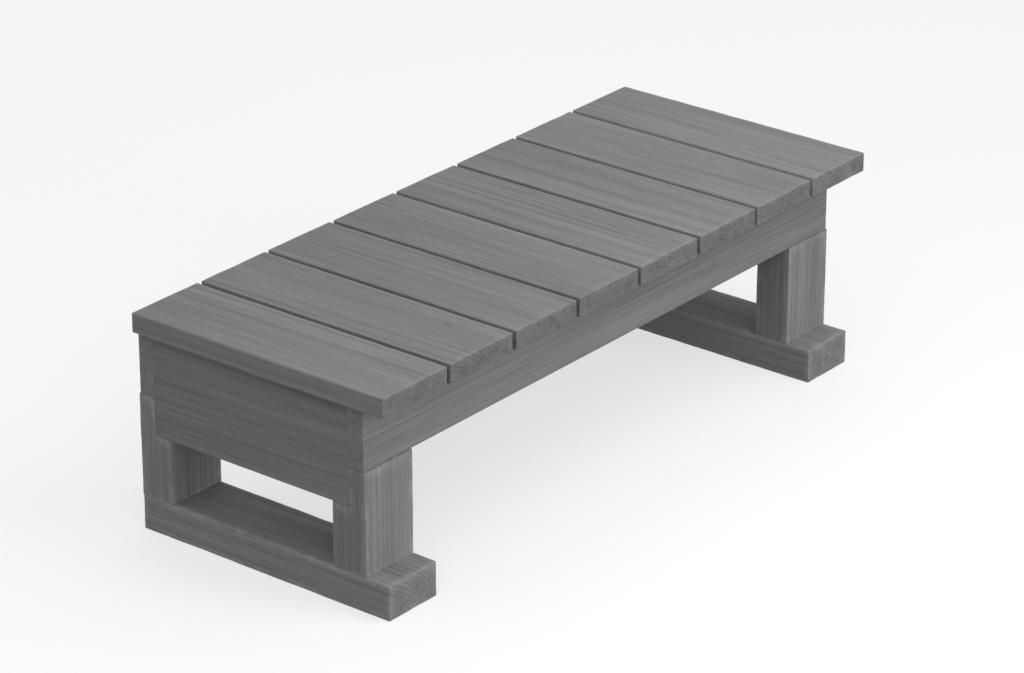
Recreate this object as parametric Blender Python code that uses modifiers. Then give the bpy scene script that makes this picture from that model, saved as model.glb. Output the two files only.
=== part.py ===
"""Spa step: a low slatted timber step that stands beside a hot tub.

Eight slats run front to back over a frame. The frame is two end frames, each a foot
rail, two posts and an end board, joined by a front rail and a rear rail. The posts are
rebated, so that the rails and end boards lie in them. Cleats inside the frame carry the
screws that hold the slats from below, so no screw shows from above.

Metres, +Z up. The origin is on the ground under the middle of the step, X runs along its
length, and -Y is the side that people step up from.
"""

import bpy
import bmesh
from mathutils import Matrix, Vector

# Overall size
STEP_LENGTH = 0.755
STEP_DEPTH = 0.311
STEP_HEIGHT = 0.230

# Deck
SLAT_COUNT = 8
SLAT_GAP = 0.005
SLAT_THICKNESS = 0.020
END_OVERHANG = 0.013    # deck past the outer face of each end frame
FRONT_OVERHANG = 0.034  # deck past the front face of the posts
DECK_SETBACK = 0.006    # deck short of the back of the frame

# Frame members
MEMBER_WIDTH = 0.067    # posts and foot rails, along X
FOOT_HEIGHT = 0.036
FOOT_SETBACK = 0.006     # foot rails behind the front of the deck
POST_DEPTH = 0.039
BOARD_THICKNESS = 0.018  # rails and end boards
RAIL_SETBACK = 0.0016    # the rails' faces lie this far behind the faces of the posts
BOARD_SETBACK = 0.0005   # and the end boards' faces, and the rails' ends, this far
RAIL_HEIGHT = 0.068
END_BOARD_HEIGHT = 0.107
CLEAT_WIDTH = 0.022
CLEAT_HEIGHT = 0.025

# Screws: countersunk, with the head just below the surface
HEAD_RADIUS = 0.0038
HEAD_DEPTH = 0.0030
SHANK_RADIUS = 0.0019
TIP_LENGTH = 0.004
HEAD_SINK = 0.0004
SCREW_SIDES = 8
DECK_SCREW = 0.035
RAIL_SCREW = 0.030
BOARD_SCREW = 0.060
FOOT_SCREW = 0.070
CLEAT_SCREW_OFFSET = 0.190  # either side of the step's middle
FOOT_SCREW_OFFSET = 0.018   # either side of a post's middle
END_SCREW_INSET = 0.020     # from the ends of an end cleat
LOW_SCREW_RISE = 0.006      # board screw above the bottom of the rail
SCREW_STAGGER = 0.015       # between the levels of the screws in a post

# Workmanship
GAP = 0.0003            # clearance between pieces that touch
ARRIS = 0.0015          # eased edges
ARRIS_SEGMENTS = 2
CUT_MARGIN = 0.005      # how far a cutter passes the face that it cuts
CONVEX_ANGLE = 0.5      # radians: only edges sharper than this are eased

# Places that follow from the sizes above
BACK = STEP_DEPTH / 2
FRONT = -BACK
FRAME_FRONT = FRONT + FRONT_OVERHANG
FRAME_OUTER = STEP_LENGTH / 2 - END_OVERHANG
FRAME_INNER = FRAME_OUTER - MEMBER_WIDTH
FRAME_TOP = STEP_HEIGHT - SLAT_THICKNESS - GAP
RAIL_BOTTOM = STEP_HEIGHT - SLAT_THICKNESS - RAIL_HEIGHT
END_BOARD_BOTTOM = STEP_HEIGHT - SLAT_THICKNESS - END_BOARD_HEIGHT
CLEAT_BOTTOM = FRAME_TOP - CLEAT_HEIGHT
CLEAT_MIDDLE = FRAME_TOP - CLEAT_HEIGHT / 2
RAIL_REBATE = RAIL_SETBACK + BOARD_THICKNESS + GAP
BOARD_REBATE = BOARD_SETBACK + BOARD_THICKNESS + GAP
SLAT_WIDTH = (STEP_LENGTH - (SLAT_COUNT - 1) * SLAT_GAP) / SLAT_COUNT
SLAT_PITCH = SLAT_WIDTH + SLAT_GAP
BOARD_OUTER = FRAME_OUTER - BOARD_SETBACK
BOARD_INNER = BOARD_OUTER - BOARD_THICKNESS
CLEAT_END = FRAME_INNER - GAP
END_CLEAT_OUTER = BOARD_INNER - GAP
END_CLEAT_MIDDLE = END_CLEAT_OUTER - CLEAT_WIDTH / 2

# The two long sides of the frame: the face that the posts show, and the way into the frame
LONG_SIDES = {"front": (FRAME_FRONT, 1), "rear": (BACK, -1)}
# The two ends of the frame: which way is outwards along X
ENDS = {"left": -1, "right": 1}


def clear_scene():
    for obj in list(bpy.data.objects):
        bpy.data.objects.remove(obj)


def new_collection(name):
    collection = bpy.data.collections.new(name)
    bpy.context.scene.collection.children.link(collection)
    return collection


def new_material(name, colour, roughness, metallic=0.0):
    material = bpy.data.materials.new(name)
    material.use_nodes = True
    shader = material.node_tree.nodes["Principled BSDF"]
    shader.inputs["Base Color"].default_value = (*colour, 1.0)
    shader.inputs["Roughness"].default_value = roughness
    shader.inputs["Metallic"].default_value = metallic
    material.diffuse_color = (*colour, 1.0)
    return material


def span(a, b):
    """An interval from its two ends, in either order."""
    return (min(a, b), max(a, b))


def into_frame(side, near, far):
    """The Y interval between two depths, measured into the frame from a long side's face."""
    face, inwards = LONG_SIDES[side]
    return span(face + inwards * near, face + inwards * far)


def new_object(name, mesh, collection, location=(0, 0, 0)):
    obj = bpy.data.objects.new(name, mesh)
    obj.location = location
    collection.objects.link(obj)
    return obj


def box(name, x, y, z, collection):
    """A box between two values on each axis, with its origin at its middle."""
    size = Vector((x[1] - x[0], y[1] - y[0], z[1] - z[0]))
    middle = Vector((x[0] + x[1], y[0] + y[1], z[0] + z[1])) / 2
    bm = bmesh.new()
    bmesh.ops.create_cube(bm, size=1.0, matrix=Matrix.Diagonal(size).to_4x4())
    mesh = bpy.data.meshes.new(name)
    bm.to_mesh(mesh)
    bm.free()
    return new_object(name, mesh, collection, middle)


def make_cutter(obj):
    obj.display_type = "WIRE"
    obj.hide_render = True
    return obj


def subtract(obj, cutter):
    modifier = obj.modifiers.new(cutter.name, "BOOLEAN")
    modifier.operation = "DIFFERENCE"
    modifier.solver = "EXACT"
    modifier.object = cutter


def bake_modifiers(obj):
    """Replaces the object's mesh with what its modifiers make of it."""
    bpy.context.view_layer.update()
    evaluated = obj.evaluated_get(bpy.context.evaluated_depsgraph_get())
    obj.data = bpy.data.meshes.new_from_object(evaluated)
    obj.modifiers.clear()


def ease_arrises(obj):
    """Rounds the piece's outward edges, and leaves the inner corners of its rebates sharp."""
    bm = bmesh.new()
    bm.from_mesh(obj.data)
    weights = bm.edges.layers.float.new("bevel_weight_edge")
    for edge in bm.edges:
        if edge.is_convex and edge.calc_face_angle(0.0) > CONVEX_ANGLE:
            edge[weights] = 1.0
    bm.to_mesh(obj.data)
    bm.free()
    bevel = obj.modifiers.new("Eased arrises", "BEVEL")
    bevel.limit_method = "WEIGHT"
    bevel.width = ARRIS
    bevel.segments = ARRIS_SEGMENTS


def timber(name, x, y, z, material, collection, rebates=()):
    """A board with eased arrises, less any rebates."""
    obj = box(name, x, y, z, collection)
    for cutter in rebates:
        subtract(obj, cutter)
    bake_modifiers(obj)
    ease_arrises(obj)
    obj.data.materials.append(material)
    return obj


def build_slats(collection, material):
    y = (FRONT, BACK - DECK_SETBACK)
    z = (STEP_HEIGHT - SLAT_THICKNESS, STEP_HEIGHT)
    slats = []
    for i in range(SLAT_COUNT):
        low = -STEP_LENGTH / 2 + i * SLAT_PITCH
        x = (low, low + SLAT_WIDTH)
        slats.append(timber(f"deck_slat_{i + 1}", x, y, z, material, collection))
    return slats


def build_rails(collection, material):
    """The rails run the full length of the frame, across all of each post."""
    x = (-BOARD_OUTER, BOARD_OUTER)
    z = (RAIL_BOTTOM, FRAME_TOP)
    rails = {}
    for side in LONG_SIDES:
        y = into_frame(side, RAIL_SETBACK, RAIL_SETBACK + BOARD_THICKNESS)
        rails[side] = timber(f"{side}_rail", x, y, z, material, collection)
    return rails


def build_end_boards(collection, material):
    """The end boards fit between the two rails."""
    y = (FRAME_FRONT + RAIL_REBATE, BACK - RAIL_REBATE)
    z = (END_BOARD_BOTTOM, FRAME_TOP)
    boards = {}
    for end, outwards in ENDS.items():
        x = span(outwards * BOARD_INNER, outwards * BOARD_OUTER)
        boards[end] = timber(f"{end}_end_board", x, y, z, material, collection)
    return boards


def build_feet(collection, material):
    y = (FRONT + FOOT_SETBACK, BACK)
    z = (0.0, FOOT_HEIGHT)
    feet = {}
    for end, outwards in ENDS.items():
        x = span(outwards * FRAME_INNER, outwards * FRAME_OUTER)
        feet[end] = timber(f"{end}_foot_rail", x, y, z, material, collection)
    return feet


def rebate_cutters(end, side, cutters):
    """The two boxes cut from a post: one for the rail, and one that stops behind the post's
    front for the end board."""
    outwards = ENDS[end]
    top = FRAME_TOP + CUT_MARGIN
    board_x = span(
        outwards * (FRAME_OUTER - BOARD_REBATE), outwards * (FRAME_OUTER + CUT_MARGIN)
    )
    board_y = into_frame(side, RAIL_REBATE - GAP, POST_DEPTH + CUT_MARGIN)
    board_z = (END_BOARD_BOTTOM - GAP, top)
    rail_x = span(
        outwards * (FRAME_INNER - CUT_MARGIN), outwards * (FRAME_OUTER + CUT_MARGIN)
    )
    rail_y = into_frame(side, -CUT_MARGIN, RAIL_REBATE)
    rail_z = (RAIL_BOTTOM - GAP, top)
    name = f"{end}_{side}_post"
    return [
        make_cutter(box(f"{name}_board_rebate", board_x, board_y, board_z, cutters)),
        make_cutter(box(f"{name}_rail_rebate", rail_x, rail_y, rail_z, cutters)),
    ]


def build_posts(collection, cutters, material):
    """The posts stand on the foot rails. Their tops are thinned where the boards lie in them."""
    posts = {}
    for end, outwards in ENDS.items():
        x = span(outwards * FRAME_INNER, outwards * FRAME_OUTER)
        for side in LONG_SIDES:
            y = into_frame(side, 0.0, POST_DEPTH)
            z = (FOOT_HEIGHT + GAP, FRAME_TOP)
            rebates = rebate_cutters(end, side, cutters)
            name = f"{end}_{side}_post"
            posts[end, side] = timber(name, x, y, z, material, collection, rebates)
    return posts


def build_long_cleats(collection, material):
    """A cleat along the inside of each rail, from post to post."""
    cleats = {}
    for side in LONG_SIDES:
        y = into_frame(side, RAIL_REBATE, RAIL_REBATE + CLEAT_WIDTH)
        x = (-CLEAT_END, CLEAT_END)
        z = (CLEAT_BOTTOM, FRAME_TOP)
        cleats[side] = timber(f"{side}_deck_cleat", x, y, z, material, collection)
    return cleats


def end_cleat_span():
    """The Y interval between the front and rear posts that an end cleat fills."""
    front_face, rear_face = FRAME_FRONT + POST_DEPTH, BACK - POST_DEPTH
    return (front_face + GAP, rear_face - GAP)


def build_end_cleats(collection, material):
    """A cleat along the inside of each end board, under the first and last slat."""
    cleats = {}
    for end, outwards in ENDS.items():
        x = span(outwards * (END_CLEAT_OUTER - CLEAT_WIDTH), outwards * END_CLEAT_OUTER)
        z = (CLEAT_BOTTOM, FRAME_TOP)
        name = f"{end}_deck_cleat"
        cleats[end] = timber(name, x, end_cleat_span(), z, material, collection)
    return cleats


def slat_middle(i):
    return -STEP_LENGTH / 2 + SLAT_WIDTH / 2 + i * SLAT_PITCH


def deck_fixings(slats, long_cleats, end_cleats):
    """Upwards through the cleats into the slats, one screw near each end of a slat."""
    z = CLEAT_BOTTOM + HEAD_SINK
    fixings = []
    for side, cleat in long_cleats.items():
        y = sum(into_frame(side, RAIL_REBATE, RAIL_REBATE + CLEAT_WIDTH)) / 2
        for i in range(1, SLAT_COUNT - 1):
            fixings.append(((slat_middle(i), y, z), (0, 0, 1), (cleat, slats[i])))
    low, high = end_cleat_span()
    for (end, outwards), slat in zip(ENDS.items(), (slats[0], slats[-1])):
        for y in (low + END_SCREW_INSET, high - END_SCREW_INSET):
            place = (outwards * END_CLEAT_MIDDLE, y, z)
            fixings.append((place, (0, 0, 1), (end_cleats[end], slat)))
    return fixings


def cleat_fixings(long_cleats, end_cleats, rails, end_boards):
    """Outwards through the cleats into the rails and end boards."""
    fixings = []
    for side, (face, inwards) in LONG_SIDES.items():
        y = face + inwards * (RAIL_REBATE + CLEAT_WIDTH - HEAD_SINK)
        for x in (-CLEAT_SCREW_OFFSET, CLEAT_SCREW_OFFSET):
            pieces = (long_cleats[side], rails[side])
            fixings.append(((x, y, CLEAT_MIDDLE), (0, -inwards, 0), pieces))
    y = sum(end_cleat_span()) / 2
    for end, outwards in ENDS.items():
        x = outwards * (END_CLEAT_OUTER - CLEAT_WIDTH + HEAD_SINK)
        pieces = (end_cleats[end], end_boards[end])
        fixings.append(((x, y, CLEAT_MIDDLE), (outwards, 0, 0), pieces))
    return fixings


def rail_fixings(posts, rails):
    """From the inside of the frame through the top of each post into the rail."""
    z = RAIL_BOTTOM + LOW_SCREW_RISE + SCREW_STAGGER
    fixings = []
    for (end, side), post in posts.items():
        face, inwards = LONG_SIDES[side]
        x = ENDS[end] * (FRAME_INNER + SCREW_STAGGER)
        y = face + inwards * (POST_DEPTH - HEAD_SINK)
        fixings.append(((x, y, z), (0, -inwards, 0), (post, rails[side])))
    return fixings


def board_fixings(posts, end_boards):
    """From between the end frames through the top of each post into the end board."""
    z = RAIL_BOTTOM + LOW_SCREW_RISE
    fixings = []
    for (end, side), post in posts.items():
        x = ENDS[end] * (FRAME_INNER + HEAD_SINK)
        y = sum(into_frame(side, RAIL_REBATE, POST_DEPTH)) / 2
        fixings.append(((x, y, z), (ENDS[end], 0, 0), (post, end_boards[end])))
    return fixings


def foot_fixings(posts, feet):
    """Upwards through the foot rails into the posts, two screws to a post."""
    fixings = []
    for (end, side), post in posts.items():
        middle = ENDS[end] * (FRAME_INNER + FRAME_OUTER) / 2
        y = sum(into_frame(side, 0.0, POST_DEPTH)) / 2
        for x in (middle - FOOT_SCREW_OFFSET, middle + FOOT_SCREW_OFFSET):
            fixings.append(((x, y, HEAD_SINK), (0, 0, 1), (feet[end], post)))
    return fixings


def screw_profile(length):
    """The outer side of a screw, head at the origin and point at -Z."""
    return [
        (0.0, 0.0),
        (HEAD_RADIUS, 0.0),
        (SHANK_RADIUS, -HEAD_DEPTH),
        (SHANK_RADIUS, TIP_LENGTH - length),
        (0.0, -length),
    ]


def hole_profile(length):
    """The countersunk hole for a screw, a clearance larger all round and open at the top."""
    return [
        (0.0, CUT_MARGIN),
        (HEAD_RADIUS + GAP, CUT_MARGIN),
        (HEAD_RADIUS + GAP, 0.0),
        (SHANK_RADIUS + GAP, -HEAD_DEPTH),
        (SHANK_RADIUS + GAP, TIP_LENGTH - length),
        (0.0, -length - 2 * GAP),
    ]


def turned_mesh(name, profile):
    """A profile of (radius, height) points turned once about Z."""
    outline = bpy.data.meshes.new(name)
    points = [(radius, 0.0, height) for radius, height in profile]
    outline.from_pydata(points, [(i, i + 1) for i in range(len(points) - 1)], [])
    obj = new_object(name, outline, bpy.context.scene.collection)
    turn = obj.modifiers.new("Turn", "SCREW")
    turn.steps = SCREW_SIDES
    turn.render_steps = SCREW_SIDES
    turn.use_merge_vertices = True
    turn.merge_threshold = 0.0001
    bake_modifiers(obj)
    mesh = obj.data
    bpy.data.objects.remove(obj)
    mesh.shade_smooth()
    mesh.set_sharp_from_angle(angle=CONVEX_ANGLE)
    return mesh


def drive_screws(name, length, fixings, material, collection, cutters):
    """A screw at each fixing, and its hole through the two pieces that it joins."""
    screw_mesh = turned_mesh(name, screw_profile(length))
    screw_mesh.materials.append(material)
    hole_mesh = turned_mesh(f"{name}_hole", hole_profile(length))
    for number, (place, direction, pieces) in enumerate(fixings, start=1):
        rotation = Vector((0, 0, -1)).rotation_difference(Vector(direction)).to_euler()
        screw = new_object(f"{name}_{number}", screw_mesh, collection, place)
        hole = make_cutter(new_object(f"{name}_hole_{number}", hole_mesh, cutters, place))
        screw.rotation_euler = rotation
        hole.rotation_euler = rotation
        for piece in pieces:
            subtract(piece, hole)


def build():
    clear_scene()
    step = new_collection("spa_step")
    cutters = new_collection("cutters")
    deck_timber = new_material("deck_timber", (0.23, 0.23, 0.23), 0.62)
    frame_timber = new_material("frame_timber", (0.20, 0.20, 0.20), 0.65)
    steel = new_material("screw_steel", (0.55, 0.55, 0.56), 0.35, metallic=1.0)

    slats = build_slats(step, deck_timber)
    rails = build_rails(step, frame_timber)
    end_boards = build_end_boards(step, frame_timber)
    feet = build_feet(step, frame_timber)
    posts = build_posts(step, cutters, frame_timber)
    long_cleats = build_long_cleats(step, frame_timber)
    end_cleats = build_end_cleats(step, frame_timber)

    screws = [
        ("deck_screw", DECK_SCREW, deck_fixings(slats, long_cleats, end_cleats)),
        ("cleat_screw", RAIL_SCREW, cleat_fixings(long_cleats, end_cleats, rails, end_boards)),
        ("rail_screw", RAIL_SCREW, rail_fixings(posts, rails)),
        ("board_screw", BOARD_SCREW, board_fixings(posts, end_boards)),
        ("foot_screw", FOOT_SCREW, foot_fixings(posts, feet)),
    ]
    for name, length, fixings in screws:
        drive_screws(name, length, fixings, steel, step, cutters)


build()
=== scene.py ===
"""Spa step: the finished look of a low slatted timber step, built around its CAD frame.

Every timber is rebuilt as a planed and stained board: its arrises are rounded and worn
unevenly, its faces wander by about a tenth of a millimetre, and its grain is a solid
texture, so the lines on its faces run on into the rings on its ends. Every screw is
rebuilt with a thread and a six-lobed drive. Pieces that are fitted into each other are a
little fuller than their CAD solids, and everything stays within the box of the CAD part.

Metres, +Z up, X along the step, -Y the side that people step up from.
"""

import math
import random
from collections import namedtuple

import bmesh
import bpy
from mathutils import Matrix, Vector, noise


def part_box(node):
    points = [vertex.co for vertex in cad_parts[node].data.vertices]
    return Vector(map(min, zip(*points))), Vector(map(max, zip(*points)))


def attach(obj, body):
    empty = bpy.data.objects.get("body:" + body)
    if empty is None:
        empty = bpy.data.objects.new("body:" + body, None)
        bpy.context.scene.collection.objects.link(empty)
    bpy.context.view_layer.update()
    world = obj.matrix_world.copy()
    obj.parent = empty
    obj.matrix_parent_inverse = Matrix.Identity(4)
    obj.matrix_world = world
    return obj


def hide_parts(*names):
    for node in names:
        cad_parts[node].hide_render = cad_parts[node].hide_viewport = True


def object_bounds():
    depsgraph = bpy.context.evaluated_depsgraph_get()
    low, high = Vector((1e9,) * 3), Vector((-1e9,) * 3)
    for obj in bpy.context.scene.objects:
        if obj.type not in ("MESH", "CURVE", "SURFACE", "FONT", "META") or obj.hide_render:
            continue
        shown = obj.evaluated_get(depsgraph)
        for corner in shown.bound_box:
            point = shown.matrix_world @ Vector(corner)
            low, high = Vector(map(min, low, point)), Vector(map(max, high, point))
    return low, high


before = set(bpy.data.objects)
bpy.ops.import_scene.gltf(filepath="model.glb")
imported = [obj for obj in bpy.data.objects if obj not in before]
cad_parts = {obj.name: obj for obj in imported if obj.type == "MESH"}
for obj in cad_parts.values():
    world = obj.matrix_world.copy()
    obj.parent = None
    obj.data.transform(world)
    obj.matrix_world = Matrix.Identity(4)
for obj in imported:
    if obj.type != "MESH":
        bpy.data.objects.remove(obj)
CAD_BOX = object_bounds()
STEP_MIDDLE = (CAD_BOX[0] + CAD_BOX[1]) / 2

# The timbers and screws, by their CAD names
SLATS = [f"deck_slat_{i}" for i in range(1, 9)]
RAILS = ["front_rail", "rear_rail"]
END_BOARDS = ["left_end_board", "right_end_board"]
FOOT_RAILS = ["left_foot_rail", "right_foot_rail"]
POSTS = ["left_front_post", "left_rear_post", "right_front_post", "right_rear_post"]
CLEATS = ["front_deck_cleat", "rear_deck_cleat", "left_deck_cleat", "right_deck_cleat"]
SCREWS = sorted(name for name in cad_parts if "screw" in name)

# Boards
CLEARANCE = 0.0003       # round a screw
REBATE_GAP = 0.0002      # between a rebate and the CAD box of the board that lies in it
SNUG = 0.00017           # how much fuller than its CAD box a piece is where it is fitted
NEAR_FACE = 0.0025       # a rebate that ends this near to a board's face runs out through it
RUN_OUT = 0.005          # how far a cutter runs out of a board
ARRIS_SEGMENTS = 4
END_SLACK = 0.00001      # an edge this near to the end of a timber is on its end
SHARP_ANGLE = 0.6        # radians
FLAT_ANGLE = 0.01        # radians
SQUARE = 0.999           # a face is on an arris if no part of its normal is as large as this
END_SHARPNESS = 4        # how soon a rounded end counts as end grain

# The mesh of a board
EDGE_LINES = (0.0030, 0.0070)  # lines this far from each face
GRID_ALONG = 0.0080      # pitch of the others, along the grain
GRID_ACROSS = 0.0055
SAME_PLACE = 1e-6        # vertices this near to a line lie on it

# Wear. The waves and bites are features a metre.
SURFACE_WANDER = 0.00012  # how far a planed face falls below its true plane, at most
WAVES_ALONG = 6.0
WAVES_ACROSS = 30.0
WEAR_SHARE = 0.40        # how far an arris is worn back, as a share of its radius
BITES = 55.0
BITE_BIAS = 0.35         # how deep an arris is worn between its bites
NOISE_SPAN = 50.0        # each board reads the noise at its own place, up to this far away

# The log that a board is sawn from, and how far from the board its pith can be
LOG_LENGTH = 40.0
PITH_ASIDE = (0.02, 0.09)
PITH_BELOW = (0.03, 0.07)

# Tones of the stain: linear grey, and the share of it that a board takes. Some of each share is
# tone that differs from board to board, and some is painted light and shade. The shares follow
# how
# brightly each part was lit: slats 2 to 4 are darker and slats 7 and 8 lighter, the rail is
# lifted out of the shadow of the deck above it, the feet are lifted out of the shade under the
# deck, and the posts are lighter than the end boards and cleats.
DECK_GREY = 0.185
FRAME_GREY = 0.180
SLAT_TONES_AND_LIGHT = (0.97, 0.95, 0.93, 0.96, 1.04, 1.01, 1.07, 1.12)
RAIL_TONE_AND_LIGHT = 1.06
BOARD_TONE_AND_LIGHT = 0.97
POST_TONE_AND_LIGHT = 1.02
FOOT_TONE_AND_LIGHT = 1.12

# How a timber is cut: the radius of its long arrises and of those at its ends, how much
# lighter its arrises are, partly as stain rubbed off them and partly as a painted highlight
# where they catch the light, how much darker its ends are, and how much shorter than its
# space it is at each end, at most
Cut = namedtuple("Cut", "arris end_arris rubbing end_shade trim")
SLAT_CUT = Cut(arris=0.0008, end_arris=0.0008, rubbing=0.30, end_shade=0.30, trim=0.0007)
BOARD_CUT = Cut(arris=0.00015, end_arris=0.00015, rubbing=0.10, end_shade=0.04, trim=0.0)
FOOT_CUT = Cut(arris=0.0010, end_arris=0.0010, rubbing=0.80, end_shade=0.12, trim=0.0007)
# The posts' and feet's arrises are lightest: a painted highlight along edges that catch the
# light, such as the posts' shoulders under the rails
POST_CUT = Cut(arris=0.0011, end_arris=0.0002, rubbing=1.20, end_shade=0.12, trim=0.0)

# Which faces of a timber are fitted: the share of SNUG that it grows along each axis
RAIL_SNUG = (1, 1, 1)
END_BOARD_SNUG = (1, 0.5, 1)
POST_SNUG = (0, 0, 1)
NOT_SNUG = (0, 0, 0)

# Knots: along the board, across it (both from its middle) and radius
KNOTS = {
    "deck_slat_2": (-0.095, 0.021, 0.0020),
    "deck_slat_7": (-0.040, 0.028, 0.0022),
    "rear_rail": (-0.140, 0.012, 0.0060),
    "right_end_board": (-0.060, -0.018, 0.0055),
    "right_foot_rail": (0.060, 0.012, 0.0045),
}
NO_KNOT = (0.0, 0.0, 0.0)

# Patterns of noise: features a metre along the log and twice across it, and how fine and how
# rough the noise is
Pattern = namedtuple("Pattern", "stretch detail roughness", defaults=(2.0, 0.5))
BROAD = Pattern((1.9, 16.0, 16.0), detail=3.0)
BANDS = Pattern((3.2, 65.0, 65.0))
STREAKS = Pattern((5.5, 190.0, 190.0), detail=4.0, roughness=0.65)
FIBRES = Pattern((24.0, 900.0, 900.0), detail=3.0, roughness=0.6)
PORES = Pattern((70.0, 1400.0, 1400.0))
CHECKS = Pattern((12.0, 520.0, 520.0))
ARRIS_PATCHES = Pattern((60.0, 90.0, 90.0), detail=4.0, roughness=0.7)
BENDS = Pattern((2.2, 9.0, 9.0))
KNOT_BENDS = Pattern((60.0, 60.0, 60.0))
DULLED = Pattern((700.0, 700.0, 700.0), detail=3.0)

# Where a pattern starts and where it is full
RING_EDGE = (0.18, 0.5)
PORE_EDGE = (0.30, 0.62)
CHECK_EDGE = (0.52, 0.68)
ARRIS_PATCH_EDGE = (-0.55, 0.45)

# Grain
RING_SPACING = 0.0046
GRAIN_BEND = 0.005       # how far the grain bends off its line

# A knot's shape. Its edge and its halo are in radii.
KNOT_STRETCH = 0.75      # how wide it is for its length along the grain
KNOT_BEND = 0.0008       # how uneven its outline is
KNOT_EDGE = (0.70, 1.05)
HALO_EDGE = (0.95, 2.4)
KNOT_RINGS = 2.5         # in one radius
KNOT_PUSH = 0.9          # how strongly it pushes the grain aside
SMALLEST_KNOT = 0.0001   # the radius that stands in for no knot

# What each pattern adds to the wood's shade, to its roughness and to its height
GRAIN_SHADES = {
    "broad": 0.16, "bands": 0.22, "streaks": 0.36, "fibres": 0.22,
    "rings": -0.13, "pores": -0.16, "checks": -0.30,
}
KNOT_SHADES = {"halo": -0.16, "knot": -0.16, "knot_rings": 0.30}
# Lighter arrises: stain rubbed off them, and a painted highlight where they catch the light
RUBBED_AND_HIGHLIGHT_SHADES = {"rubbed_and_highlight": 0.35}
ROUGHNESS = {"fibres": 0.14, "broad": 0.07, "rubbed_and_highlight": -0.10}
HEIGHTS = {"fibres": 0.50, "streaks": 0.45, "rings": 0.25, "pores": -0.60, "checks": -1.20}
WOOD_ROUGH = 0.66
WOOD_SPECULAR = 0.35
WOOD_BUMP = 0.0003
WOOD_BUMP_STRENGTH = 0.55

# Steel
STEEL_GREY = 0.50
STEEL_ROUGH = 0.38
DULLED_SHADE = 0.10
DULLED_ROUGH = 0.12
STEEL_BUMP = 0.00005
STEEL_BUMP_STRENGTH = 0.3

# Screws. The drive's floor, bottom and mouth and the head's flat top are shares of the drive's
# or the head's radius.
HEAD_DEPTH = 0.0030
HEAD_FLAT = 0.94
HEAD_EASE = 0.0002       # the rounded edge of the head, and of the drive's mouth
HEAD_RIM = 0.0004        # how far the head's straight rim reaches down
DRIVE_RADIUS = 0.0017
DRIVE_DEPTH = 0.0015
DRIVE_FLOOR = 0.45
DRIVE_BOTTOM = 0.88
DRIVE_MOUTH = 1.08
DRIVE_POINT = 1.15       # how deep the drive's floor dips, as a share of its depth
DRIVE_LOBES = 6
LOBE_HEIGHT = 0.14       # as a share of the drive's radius
ROOT_RADIUS = 0.0015
CREST_RADIUS = 0.0020
SHANK_RADIUS = 0.0019
SHANK_TAPER = 0.0004     # the shank narrows to the thread's root over this length
HOLE_RADIUS = 0.0022
THREAD_PITCH = 0.0022
THREAD_SHARE = 0.62      # of the screw's length
THREAD_SLOPE = 4.0       # a ridge rises over a quarter of the pitch, and falls over the next
ROWS_PER_TURN = 6
POINT_LENGTH = 0.005
SCREW_SIDES = 24

# Stage: linear greys, the strengths of what glows, and metres
FLOOR_GREY = 0.35
FLOOR_GLOW = 0.62
FLOOR_RADIUS = 60.0
FLOOR_SIDES = 64
BOUNCE_GLOW = 0.08
BOUNCE_HEIGHT = -0.001
SURROUND_GLOW = 0.95
SURROUND_RADIUS = 70.0
SURROUND_SIDES = 32
STAGE_ROUGH = 0.9
STAGE_SPECULAR = 0.1
SKY = 0.71

# Lights: the direction that each shines from, its distance from the step's middle, its
# diameter and its power in watts
Light = namedtuple("Light", "direction distance size power")
LIGHTS = {
    "overhead": Light((0.05, -0.60, 0.80), 1.1, 0.8, 4.1),
    "low_front": Light((0.10, -0.97, 0.25), 2.3, 1.5, 18.0),
    "front_left": Light((-0.71, -0.57, 0.41), 3.0, 1.6, 10.0),
    "left": Light((-0.75, -0.10, 0.66), 2.6, 1.6, 3.5),
}

# Camera: degrees round from the step's front, degrees up, metres and millimetres
CAMERA_AZIMUTH = -51.4
CAMERA_ELEVATION = 24.2
CAMERA_DISTANCE = 4.07
CAMERA_LENS = 146.0


def spread(rng, low, high):
    """A seeded random value between two others."""
    return low + (high - low) * rng.random()


def axes_by_size(low, high):
    """A box's three axes, from its longest to its thinnest."""
    size = high - low
    return sorted(range(3), key=lambda axis: -size[axis])


def new_object(name, data):
    obj = bpy.data.objects.new(name, data)
    bpy.context.scene.collection.objects.link(obj)
    return obj


def new_mesh(bm, name):
    """A mesh made from the bmesh, which is used up."""
    mesh = bpy.data.meshes.new(name)
    bm.to_mesh(mesh)
    bm.free()
    return mesh


def finish_mesh(mesh, material):
    mesh.shade_smooth()
    mesh.set_sharp_from_angle(angle=SHARP_ANGLE)
    mesh.materials.append(material)


# ---------------------------------------------------------------- boards


def box_bmesh(low, high):
    bm = bmesh.new()
    size = Matrix.Diagonal(high - low).to_4x4()
    bmesh.ops.create_cube(bm, size=1.0, matrix=Matrix.Translation((low + high) / 2) @ size)
    return bm


def carve(bm, cutters):
    """The bmesh less the cutters, which are bmeshes too. All of them are used up."""
    body = new_object("carved", new_mesh(bm, "carved"))
    tools = [new_object("cutter", new_mesh(cutter, "cutter")) for cutter in cutters]
    for tool in tools:
        cut = body.modifiers.new("cut", "BOOLEAN")
        cut.operation = "DIFFERENCE"
        cut.solver = "EXACT"
        cut.object = tool
    bpy.context.view_layer.update()
    evaluated = body.evaluated_get(bpy.context.evaluated_depsgraph_get())
    result = bmesh.new()
    result.from_mesh(evaluated.to_mesh())
    evaluated.to_mesh_clear()
    for obj in [body, *tools]:
        bpy.data.meshes.remove(obj.data)
    return result


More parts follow.
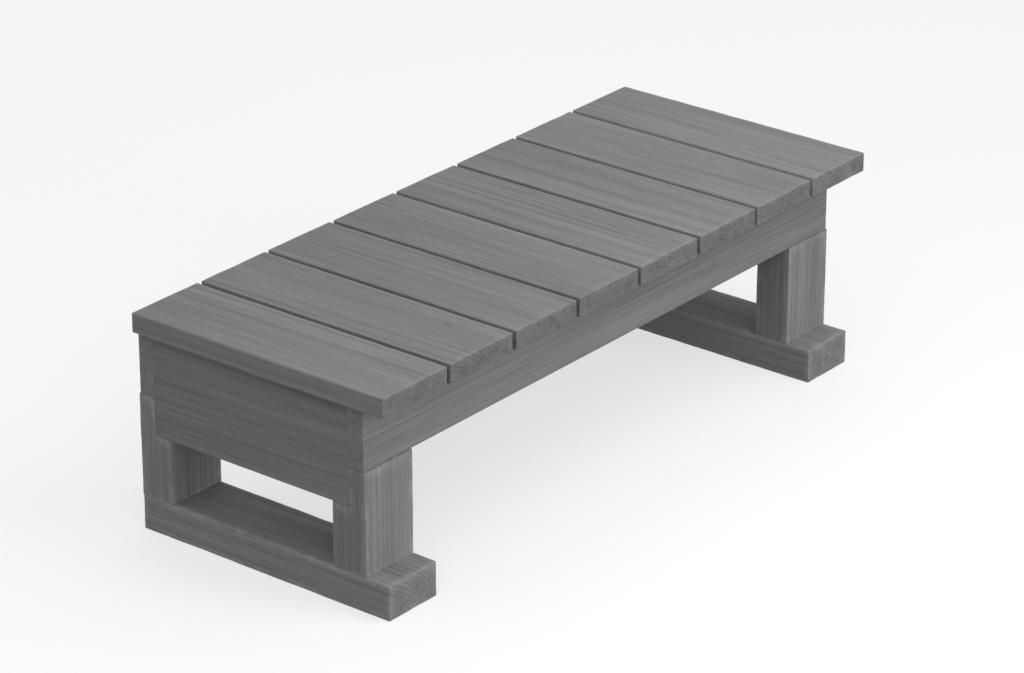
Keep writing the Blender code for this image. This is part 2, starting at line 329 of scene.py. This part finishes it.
def rebate_cutter(post, board):
    """The space that a board takes in a post: its own box and a clearance, and out through
    every face of the post that the board's own face nearly reaches."""
    low, high = Vector(board[0]), Vector(board[1])
    for axis in range(3):
        opens_low = low[axis] < post[0][axis] + NEAR_FACE
        opens_high = high[axis] > post[1][axis] - NEAR_FACE
        low[axis] = post[0][axis] - RUN_OUT if opens_low else low[axis] - REBATE_GAP
        high[axis] = post[1][axis] + RUN_OUT if opens_high else high[axis] + REBATE_GAP
    return box_bmesh(low, high)


def round_edges(bm, edges, radius):
    bmesh.ops.bevel(
        bm, geom=edges, offset=radius, segments=ARRIS_SEGMENTS, profile=0.5,
        affect="EDGES", clamp_overlap=True,
    )


def round_arrises(bm, low, high, grain_axis, cut):
    """Rounds the outward edges, the sawn ends last, and leaves rebates' inner corners sharp."""
    start, end = low[grain_axis] + END_SLACK, high[grain_axis] - END_SLACK

    def sharp_edges():
        return [e for e in bm.edges if e.is_convex and e.calc_face_angle(0.0) > SHARP_ANGLE]

    def at_an_end(edge):
        places = [vertex.co[grain_axis] for vertex in edge.verts]
        return max(places) < start or min(places) > end

    bmesh.ops.dissolve_limit(bm, angle_limit=FLAT_ANGLE, verts=bm.verts, edges=bm.edges)
    round_edges(bm, [e for e in sharp_edges() if not at_an_end(e)], cut.arris)
    round_edges(bm, [e for e in sharp_edges() if at_an_end(e)], cut.end_arris)


def grid_lines(low, high, pitch):
    """Where the mesh is cut along one axis: close to each face, and evenly in between."""
    lines = [low + line for line in EDGE_LINES] + [high - line for line in EDGE_LINES]
    start, end = low + EDGE_LINES[-1], high - EDGE_LINES[-1]
    count = max(1, round((end - start) / pitch))
    lines += [start + (end - start) * i / count for i in range(1, count)]
    return [line for line in lines if low < line < high]


def cut_grid(bm, low, high, grain_axis):
    for axis in range(3):
        pitch = GRID_ALONG if axis == grain_axis else GRID_ACROSS
        normal = Vector((0, 0, 0))
        normal[axis] = 1.0
        for line in grid_lines(low[axis], high[axis], pitch):
            geometry = [*bm.verts, *bm.edges, *bm.faces]
            bmesh.ops.bisect_plane(
                bm, geom=geometry, dist=SAME_PLACE, plane_co=normal * line, plane_no=normal
            )


def arris_mask(bm):
    """One for each vertex on a rounded arris, and zero for the others."""
    worn = set()
    for face in bm.faces:
        if max(abs(c) for c in face.normal) < SQUARE:
            worn.update(v.index for v in face.verts)
    return [1.0 if v.index in worn else 0.0 for v in bm.verts]


def weather(bm, low, high, grain_axis, cut, shift):
    """Moves the surface inwards: in long low waves along the grain, and at the arrises."""
    arris_amount = arris_mask(bm)
    stretch = Vector((WAVES_ACROSS, WAVES_ACROSS, WAVES_ACROSS))
    stretch[grain_axis] = WAVES_ALONG
    moves = []
    for vertex in bm.verts:
        wave = noise.noise(vertex.co * stretch + shift)
        bite = noise.noise(vertex.co * BITES + shift)
        depth = SURFACE_WANDER * (0.5 + 0.5 * wave)
        place = vertex.co[grain_axis]
        near_end = min(place - low[grain_axis], high[grain_axis] - place) < cut.arris
        radius = cut.end_arris if near_end else cut.arris
        depth += WEAR_SHARE * radius * arris_amount[vertex.index] * max(0.0, BITE_BIAS + bite)
        moves.append(vertex.normal * -depth)
    for vertex, move in zip(bm.verts, moves):
        vertex.co += move


def timber_box(node, cut, snug, rng):
    """The box that a timber is cut from, and its axes from the longest to the thinnest."""
    low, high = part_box(node)
    axes = axes_by_size(low, high)
    low -= Vector(snug) * SNUG
    high += Vector(snug) * SNUG
    low[axes[0]] += spread(rng, 0.0, cut.trim)
    high[axes[0]] -= spread(rng, 0.0, cut.trim)
    return low, high, axes


def timber_bmesh(node, low, high, grain_axis, cut, rebates, shift):
    """A board with its rebates, rounded arrises, uneven faces and screw holes."""
    bm = box_bmesh(low, high)
    if rebates:
        bm = carve(bm, [rebate_cutter((low, high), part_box(board)) for board in rebates])
    round_arrises(bm, low, high, grain_axis, cut)
    cut_grid(bm, low, high, grain_axis)
    bm.normal_update()
    bm.verts.index_update()
    weather(bm, low, high, grain_axis, cut, shift)
    holes = holes_in(node)
    if holes:
        bm = carve(bm, holes)
    bm.normal_update()
    bm.verts.index_update()
    return bm


def from_point(bm, axes, origin):
    """Each vertex's place along a board's own axes, from a point given on the same axes."""
    return [tuple(v.co[axis] - start for axis, start in zip(axes, origin)) for v in bm.verts]


def log_places(bm, middle, axes, rng):
    """Each vertex's place in the log that the board was sawn from. The pith runs along the
    first axis, off to one side, so the growth lines are fairly straight."""
    along = spread(rng, 0.0, LOG_LENGTH)
    side = rng.choice((-1, 1)) * spread(rng, *PITH_ASIDE)
    below = spread(rng, *PITH_BELOW)
    origin = [middle[axis] - shift for axis, shift in zip(axes, (along, side, below))]
    return from_point(bm, axes, origin)


def knot_places(bm, middle, axes, knot):
    """For each vertex, how far it is along and across the board from the knot, and the
    knot's radius, which is zero on a board without one."""
    along, across, radius = knot
    origin = (middle[axes[0]] + along, middle[axes[1]] + across)
    return [(*place, radius) for place in from_point(bm, axes[:2], origin)]


def finish_and_light_of(bm, grain_axis, tone, cut):
    """For each vertex, the board's tone with its painted light and shade, how much lighter it is
    at an arris, from rubbed stain and painted highlight, and how much of it is end grain.
    """
    arris_amount = arris_mask(bm)
    ends = [abs(vertex.normal[grain_axis]) ** END_SHARPNESS for vertex in bm.verts]
    return [(tone, cut.rubbing * w, cut.end_shade * e) for w, e in zip(arris_amount, ends)]


def write_attribute(mesh, name, vectors):
    attribute = mesh.attributes.new(name, "FLOAT_VECTOR", "POINT")
    attribute.data.foreach_set("vector", [value for vector in vectors for value in vector])


def make_timber(node, material, tone, cut, snug=NOT_SNUG, rebates=()):
    """The board that stands for one CAD timber. Its attributes feed the wood shader: log is
    the place in the log, knot is the place from the board's knot, and the third holds the
    tone with its painted light and shade, the lighter arrises, rubbed and with a painted
    highlight, and the end grain."""
    rng = random.Random(node)
    low, high, axes = timber_box(node, cut, snug, rng)
    shift = Vector([spread(rng, 0.0, NOISE_SPAN) for _ in range(3)])
    bm = timber_bmesh(node, low, high, axes[0], cut, rebates, shift)
    middle = (low + high) / 2
    attributes = {
        "log": log_places(bm, middle, axes, rng),
        "knot": knot_places(bm, middle, axes, KNOTS.get(node, NO_KNOT)),
        "finish_and_light": finish_and_light_of(bm, axes[0], tone, cut),
    }
    mesh = new_mesh(bm, f"{node}_wood")
    for name, vectors in attributes.items():
        write_attribute(mesh, name, vectors)
    finish_mesh(mesh, material)
    piece = new_object(f"{node}_wood", mesh)
    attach(piece, "root")
    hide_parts(node)


# ---------------------------------------------------------------- screws


def ring(bm, radius, height, lobes=0.0):
    """A ring of vertices round Z. Lobes swell and shrink its radius by that share."""
    vertices = []
    for i in range(SCREW_SIDES):
        angle = 2 * math.pi * i / SCREW_SIDES
        reach = radius * (1 + lobes * math.cos(DRIVE_LOBES * angle))
        vertices.append(bm.verts.new((reach * math.cos(angle), reach * math.sin(angle), height)))
    return vertices


def thread_ring(bm, height, top, bottom):
    """A ring of the threaded part: its radius follows the helix, and tapers to the point."""
    taper = min(1.0, (height - bottom) / POINT_LENGTH)
    run_in = min(1.0, (top - height) / THREAD_PITCH)
    vertices = []
    for i in range(SCREW_SIDES):
        turn = i / SCREW_SIDES
        phase = (height / THREAD_PITCH - turn) % 1.0
        ridge = max(0.0, 1.0 - abs(phase - 0.5) * THREAD_SLOPE)
        radius = ROOT_RADIUS + (CREST_RADIUS - ROOT_RADIUS) * ridge * run_in
        angle = 2 * math.pi * turn
        reach = radius * taper
        vertices.append(bm.verts.new((reach * math.cos(angle), reach * math.sin(angle), height)))
    return vertices


def bridge(bm, upper, lower):
    for i in range(SCREW_SIDES):
        j = (i + 1) % SCREW_SIDES
        bm.faces.new((upper[i], lower[i], lower[j], upper[j]))


def screw_mesh(length, head_radius, material):
    """A countersunk screw with its head's top at the origin and its point at -Z."""
    bm = bmesh.new()
    thread_top = -length * (1 - THREAD_SHARE)
    rows = round(length * THREAD_SHARE / THREAD_PITCH * ROWS_PER_TURN)
    rings = [
        ring(bm, DRIVE_RADIUS * DRIVE_FLOOR, -DRIVE_DEPTH * DRIVE_POINT),
        ring(bm, DRIVE_RADIUS * DRIVE_BOTTOM, -DRIVE_DEPTH, LOBE_HEIGHT),
        ring(bm, DRIVE_RADIUS, -HEAD_EASE, LOBE_HEIGHT),
        ring(bm, DRIVE_RADIUS * DRIVE_MOUTH, 0.0, LOBE_HEIGHT),
        ring(bm, head_radius * HEAD_FLAT, 0.0),
        ring(bm, head_radius, -HEAD_EASE),
        ring(bm, head_radius, -HEAD_RIM),
        ring(bm, SHANK_RADIUS, -HEAD_DEPTH),
        ring(bm, SHANK_RADIUS, thread_top + SHANK_TAPER),
        ring(bm, ROOT_RADIUS, thread_top),
    ]
    for row in range(1, rows):
        height = thread_top - length * THREAD_SHARE * row / rows
        rings.append(thread_ring(bm, height, thread_top, -length))
    for upper, lower in zip(rings, rings[1:]):
        bridge(bm, upper, lower)
    bm.faces.new(rings[0])
    point = bm.verts.new((0, 0, -length))
    for i in range(SCREW_SIDES):
        bm.faces.new((rings[-1][i], point, rings[-1][(i + 1) % SCREW_SIDES]))
    bmesh.ops.recalc_face_normals(bm, faces=bm.faces)
    mesh = new_mesh(bm, "screw")
    finish_mesh(mesh, material)
    return mesh


def screw_placement(node):
    """A CAD screw's length, head radius, and the matrix that takes a screw from -Z to it.
    Deck and foot screws are driven upwards, and the others outwards from the frame."""
    low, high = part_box(node)
    axis = axes_by_size(low, high)[0]
    middle = (low + high) / 2
    direction = Vector((0, 0, 0))
    direction[axis] = 1.0 if axis == 2 or middle[axis] > 0 else -1.0
    length = high[axis] - low[axis]
    head_radius = (high - low)[(axis + 1) % 3] / 2
    turn = Vector((0, 0, -1)).rotation_difference(direction).to_matrix().to_4x4()
    head = middle - direction * length / 2
    return length, head_radius, Matrix.Translation(head) @ turn


def hole_bmesh(length, head_radius, placement):
    """The countersunk hole of a screw, open above its head."""
    bm = bmesh.new()
    wide = head_radius + CLEARANCE
    rings = [
        ring(bm, wide, RUN_OUT),
        ring(bm, wide, -CLEARANCE),
        ring(bm, HOLE_RADIUS, -HEAD_DEPTH),
        ring(bm, HOLE_RADIUS, -length - CLEARANCE),
    ]
    for upper, lower in zip(rings, rings[1:]):
        bridge(bm, upper, lower)
    bm.faces.new(rings[0])
    bm.faces.new(rings[-1])
    bm.transform(placement)
    bmesh.ops.recalc_face_normals(bm, faces=bm.faces)
    return bm


def overlaps(box_a, box_b):
    return all(box_a[0][i] < box_b[1][i] and box_b[0][i] < box_a[1][i] for i in range(3))


def holes_in(node):
    """A cutter for each screw that passes through the box of this timber."""
    cad_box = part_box(node)
    found = [screw for screw in SCREWS if overlaps(cad_box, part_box(screw))]
    return [hole_bmesh(*screw_placement(screw)) for screw in found]


def make_screw(node, meshes, material):
    """A screw at its CAD place. Screws of one length share a mesh."""
    length, head_radius, placement = screw_placement(node)
    size = round(length, 4)
    if size not in meshes:
        meshes[size] = screw_mesh(length, head_radius, material)
    piece = new_object(f"{node}_steel", meshes[size])
    piece.matrix_world = placement
    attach(piece, "root")
    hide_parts(node)


# ---------------------------------------------------------------- materials


class Graph:
    """Short ways to add nodes to a material."""

    def __init__(self, name):
        self.material = bpy.data.materials.new(name)
        self.material.use_nodes = True
        self.tree = self.material.node_tree
        self.shader = self.tree.nodes["Principled BSDF"]

    def set(self, socket, value):
        if isinstance(value, bpy.types.NodeSocket):
            self.tree.links.new(value, socket)
        else:
            socket.default_value = value

    def attribute(self, name):
        node = self.tree.nodes.new("ShaderNodeAttribute")
        node.attribute_name = name
        return node.outputs["Vector"]

    def math(self, operation, *values):
        node = self.tree.nodes.new("ShaderNodeMath")
        node.operation = operation
        for socket, value in zip(node.inputs, values):
            self.set(socket, value)
        return node.outputs[0]

    def vector(self, operation, *values):
        node = self.tree.nodes.new("ShaderNodeVectorMath")
        node.operation = operation
        for socket, value in zip(node.inputs, values):
            self.set(socket, value)
        return node.outputs["Value" if operation == "LENGTH" else "Vector"]

    def split(self, vector):
        node = self.tree.nodes.new("ShaderNodeSeparateXYZ")
        self.set(node.inputs[0], vector)
        return node.outputs

    def join(self, x, y, z):
        node = self.tree.nodes.new("ShaderNodeCombineXYZ")
        for socket, value in zip(node.inputs, (x, y, z)):
            self.set(socket, value)
        return node.outputs[0]

    def noise(self, vector, pattern, colour=False):
        """Noise from about -1 to 1 along each axis of a colour, or as one value."""
        node = self.tree.nodes.new("ShaderNodeTexNoise")
        self.set(node.inputs["Vector"], self.vector("MULTIPLY", vector, pattern.stretch))
        self.set(node.inputs["Scale"], 1.0)
        self.set(node.inputs["Detail"], pattern.detail)
        self.set(node.inputs["Roughness"], pattern.roughness)
        if colour:
            centred = self.vector("SUBTRACT", node.outputs["Color"], (0.5, 0.5, 0.5))
            return self.vector("MULTIPLY", centred, (2.0, 2.0, 2.0))
        return self.math("MULTIPLY_ADD", node.outputs[0], 2.0, -1.0)

    def ramp(self, value, low, high):
        """Zero below low, one above high, and smooth in between."""
        node = self.tree.nodes.new("ShaderNodeMapRange")
        node.interpolation_type = "SMOOTHSTEP"
        self.set(node.inputs["Value"], value)
        self.set(node.inputs["From Min"], low)
        self.set(node.inputs["From Max"], high)
        return node.outputs["Result"]

    def mix_in(self, total, amount, value):
        """total + amount * value"""
        return self.math("MULTIPLY_ADD", value, amount, total)

    def mix_in_all(self, total, amounts, patterns):
        """The total with so much of each pattern that has an amount."""
        for name, amount in amounts.items():
            total = self.mix_in(total, amount, patterns[name])
        return total

    def bump(self, height, distance, strength):
        node = self.tree.nodes.new("ShaderNodeBump")
        self.set(node.inputs["Height"], height)
        self.set(node.inputs["Distance"], distance)
        self.set(node.inputs["Strength"], strength)
        self.set(self.shader.inputs["Normal"], node.outputs["Normal"])


def knot_patterns(g, bent):
    """The knot itself, the dark halo and the rings in it, each from zero to one, and the
    place in the log with the grain led round the knot."""
    along, across, radius = g.split(g.attribute("knot"))
    u = g.math("MULTIPLY", along, KNOT_STRETCH)
    v = g.mix_in(across, KNOT_BEND, g.noise(bent, KNOT_BENDS))
    reach = g.math("SQRT", g.math("ADD", g.math("MULTIPLY", u, u), g.math("MULTIPLY", v, v)))
    distance = g.math("DIVIDE", reach, g.math("MAXIMUM", radius, SMALLEST_KNOT))
    knot = g.math("SUBTRACT", 1.0, g.ramp(distance, *KNOT_EDGE))
    halo = g.math("SUBTRACT", 1.0, g.ramp(distance, *HALO_EDGE))
    push = g.math("DIVIDE", KNOT_PUSH, g.math("MULTIPLY_ADD", distance, distance, 1.0))
    offset = g.math("MULTIPLY", g.math("MULTIPLY", v, push), -1.0)
    rings = g.math("PINGPONG", g.math("MULTIPLY", distance, KNOT_RINGS), 0.5)
    patterns = {"knot": knot, "halo": halo, "knot_rings": g.math("MULTIPLY", knot, rings)}
    return patterns, g.vector("ADD", bent, g.join(0.0, offset, 0.0))


def growth_rings(g, bent):
    radius = g.vector("LENGTH", g.vector("MULTIPLY", bent, (0.0, 1.0, 1.0)))
    rings = g.math("PINGPONG", g.math("MULTIPLY", radius, 1 / RING_SPACING), 0.5)
    return g.ramp(rings, *RING_EDGE)


def wood_patterns(g, log, arris_amount):
    """Every pattern of the wood, by name."""
    wander = g.noise(log, BENDS, colour=True)
    bent = g.vector("ADD", log, g.vector("MULTIPLY", wander, (0.0, GRAIN_BEND, GRAIN_BEND)))
    patterns, bent = knot_patterns(g, bent)
    patterns["rings"] = growth_rings(g, bent)
    patterns["broad"] = g.noise(log, BROAD)
    patterns["bands"] = g.noise(bent, BANDS)
    patterns["streaks"] = g.noise(bent, STREAKS)
    patterns["fibres"] = g.noise(bent, FIBRES)
    patterns["pores"] = g.ramp(g.noise(bent, PORES), *PORE_EDGE)
    patterns["checks"] = g.ramp(g.noise(bent, CHECKS), *CHECK_EDGE)
    # The lighter arrises, in patches: rubbed stain, and a painted highlight along the edges
    patchy = g.ramp(g.noise(log, ARRIS_PATCHES), *ARRIS_PATCH_EDGE)
    patterns["rubbed_and_highlight"] = g.math("MULTIPLY", arris_amount, patchy)
    return patterns


def wood(name, grey):
    """Grey-stained softwood: growth rings, long streaks, fine fibres, short dark pores, a few
    checks along the grain, small knots, lighter arrises that are partly rubbed stain and partly
    painted highlight, slightly darker end grain, and each board's tone, which holds painted
    light and shade."""
    g = Graph(name)
    # The tone with its painted light and shade, the lighter arrises with their painted
    # highlight, and the end grain
    tone, arris_amount, end = g.split(g.attribute("finish_and_light"))
    patterns = wood_patterns(g, g.attribute("log"), arris_amount)

    shade = g.mix_in_all(1.0, GRAIN_SHADES, patterns)
    shade = g.math("SUBTRACT", shade, end)
    shade = g.mix_in_all(shade, KNOT_SHADES, patterns)
    # Lighter arrises: rubbed stain and painted highlight
    shade = g.mix_in_all(shade, RUBBED_AND_HIGHLIGHT_SHADES, patterns)
    # The tone holds painted light and shade: each part is as light as it was lit
    colour = g.math("MULTIPLY", g.math("MULTIPLY", shade, tone), grey)
    g.set(g.shader.inputs["Base Color"], colour)

    rough = g.mix_in_all(WOOD_ROUGH, ROUGHNESS, patterns)
    g.set(g.shader.inputs["Roughness"], rough)
    g.set(g.shader.inputs["Specular IOR Level"], WOOD_SPECULAR)

    height = g.mix_in_all(0.0, HEIGHTS, patterns)
    g.bump(height, WOOD_BUMP, WOOD_BUMP_STRENGTH)
    return g.material


def steel(name):
    """Plain stainless steel, a little dulled."""
    g = Graph(name)
    coordinates = g.tree.nodes.new("ShaderNodeTexCoord").outputs["Object"]
    dulled = g.noise(coordinates, DULLED)
    g.set(g.shader.inputs["Base Color"], g.mix_in(STEEL_GREY, DULLED_SHADE, dulled))
    g.set(g.shader.inputs["Metallic"], 1.0)
    g.set(g.shader.inputs["Roughness"], g.mix_in(STEEL_ROUGH, DULLED_ROUGH, dulled))
    g.bump(dulled, STEEL_BUMP, STEEL_BUMP_STRENGTH)
    return g.material


def plain_material(name, grey, glow):
    g = Graph(name)
    g.set(g.shader.inputs["Base Color"], (grey, grey, grey, 1.0))
    g.set(g.shader.inputs["Roughness"], STAGE_ROUGH)
    g.set(g.shader.inputs["Specular IOR Level"], STAGE_SPECULAR)
    g.set(g.shader.inputs["Emission Color"], (1.0, 1.0, 1.0, 1.0))
    g.set(g.shader.inputs["Emission Strength"], glow)
    return g.material


# ---------------------------------------------------------------- stage


def stage_object(bm, name, material):
    obj = new_object(name, new_mesh(bm, name))
    obj.data.materials.append(material)
    return obj


def disc(name, height, material):
    bm = bmesh.new()
    bmesh.ops.create_circle(bm, cap_ends=True, radius=FLOOR_RADIUS, segments=FLOOR_SIDES)
    bmesh.ops.translate(bm, verts=bm.verts, vec=(0.0, 0.0, height))
    return stage_object(bm, name, material)


def build_stage():
    """A white floor that glows a little, as a light table does, so that shadows stay pale.
    Its light on the step comes from a dimmer sheet below it that only diffuse rays meet. A
    pale sky all round is there for the camera alone."""
    floor = disc("floor", 0.0, plain_material("floor_white", FLOOR_GREY, FLOOR_GLOW))
    floor.visible_diffuse = False
    glow = plain_material("bounce_white", 0.0, BOUNCE_GLOW)
    bounce = disc("floor_bounce", BOUNCE_HEIGHT, glow)
    bounce.visible_camera = False
    bounce.visible_glossy = False
    bounce.visible_shadow = False
    bm = bmesh.new()
    bmesh.ops.create_uvsphere(
        bm, u_segments=SURROUND_SIDES, v_segments=SURROUND_SIDES // 2, radius=SURROUND_RADIUS
    )
    sky = plain_material("surround_white", 0.0, SURROUND_GLOW)
    surround = stage_object(bm, "surround", sky)
    surround.visible_diffuse = False
    surround.visible_glossy = False
    surround.visible_transmission = False
    surround.visible_shadow = False


def area_light(name, light):
    data = bpy.data.lights.new(name, "AREA")
    data.shape = "DISK"
    data.size = light.size
    data.energy = light.power
    obj = new_object(name, data)
    away = Vector(light.direction).normalized()
    obj.location = STEP_MIDDLE + away * light.distance
    obj.rotation_mode = "QUATERNION"
    obj.rotation_quaternion = away.to_track_quat("Z", "Y")
    obj.visible_camera = False


def light_scene():
    world = bpy.data.worlds.new("studio")
    bpy.context.scene.world = world
    world.use_nodes = True
    background = world.node_tree.nodes["Background"]
    background.inputs["Color"].default_value = (1.0, 1.0, 1.0, 1.0)
    background.inputs["Strength"].default_value = SKY
    for name, light in LIGHTS.items():
        area_light(name, light)
    bpy.context.scene.view_settings.view_transform = "Standard"


def place_camera():
    """The view of a person who stands off the step's left front corner, looking down at it."""
    azimuth, elevation = math.radians(CAMERA_AZIMUTH), math.radians(CAMERA_ELEVATION)
    back = Vector((
        math.sin(azimuth) * math.cos(elevation),
        -math.cos(azimuth) * math.cos(elevation),
        math.sin(elevation),
    ))
    data = bpy.data.cameras.new("camera")
    data.lens = CAMERA_LENS
    camera = new_object("camera", data)
    camera.location = STEP_MIDDLE + back * CAMERA_DISTANCE
    camera.rotation_mode = "QUATERNION"
    camera.rotation_quaternion = back.to_track_quat("Z", "Y")
    bpy.context.scene.camera = camera


# ---------------------------------------------------------------- assembly


def boards_in_post(post):
    """The rail and the end board that lie in a post, from its name: left_front_post."""
    end, side, _ = post.split("_")
    return [f"{side}_rail", f"{end}_end_board"]


def build_timbers():
    deck = wood("deck_wood", DECK_GREY)
    framing = wood("frame_wood", FRAME_GREY)
    for node, tone in zip(SLATS, SLAT_TONES_AND_LIGHT):
        make_timber(node, deck, tone, SLAT_CUT)
    for node in RAILS:
        make_timber(node, framing, RAIL_TONE_AND_LIGHT, BOARD_CUT, RAIL_SNUG)
    for node in END_BOARDS:
        make_timber(node, framing, BOARD_TONE_AND_LIGHT, BOARD_CUT, END_BOARD_SNUG)
    for node in CLEATS:
        make_timber(node, framing, BOARD_TONE_AND_LIGHT, BOARD_CUT)
    for node in FOOT_RAILS:
        make_timber(node, framing, FOOT_TONE_AND_LIGHT, FOOT_CUT)
    for node in POSTS:
        rebates = boards_in_post(node)
        make_timber(node, framing, POST_TONE_AND_LIGHT, POST_CUT, POST_SNUG, rebates)


def build_screws():
    material = steel("stainless_steel")
    meshes = {}
    for node in SCREWS:
        make_screw(node, meshes, material)


build_timbers()
build_screws()
build_stage()
light_scene()
place_camera()
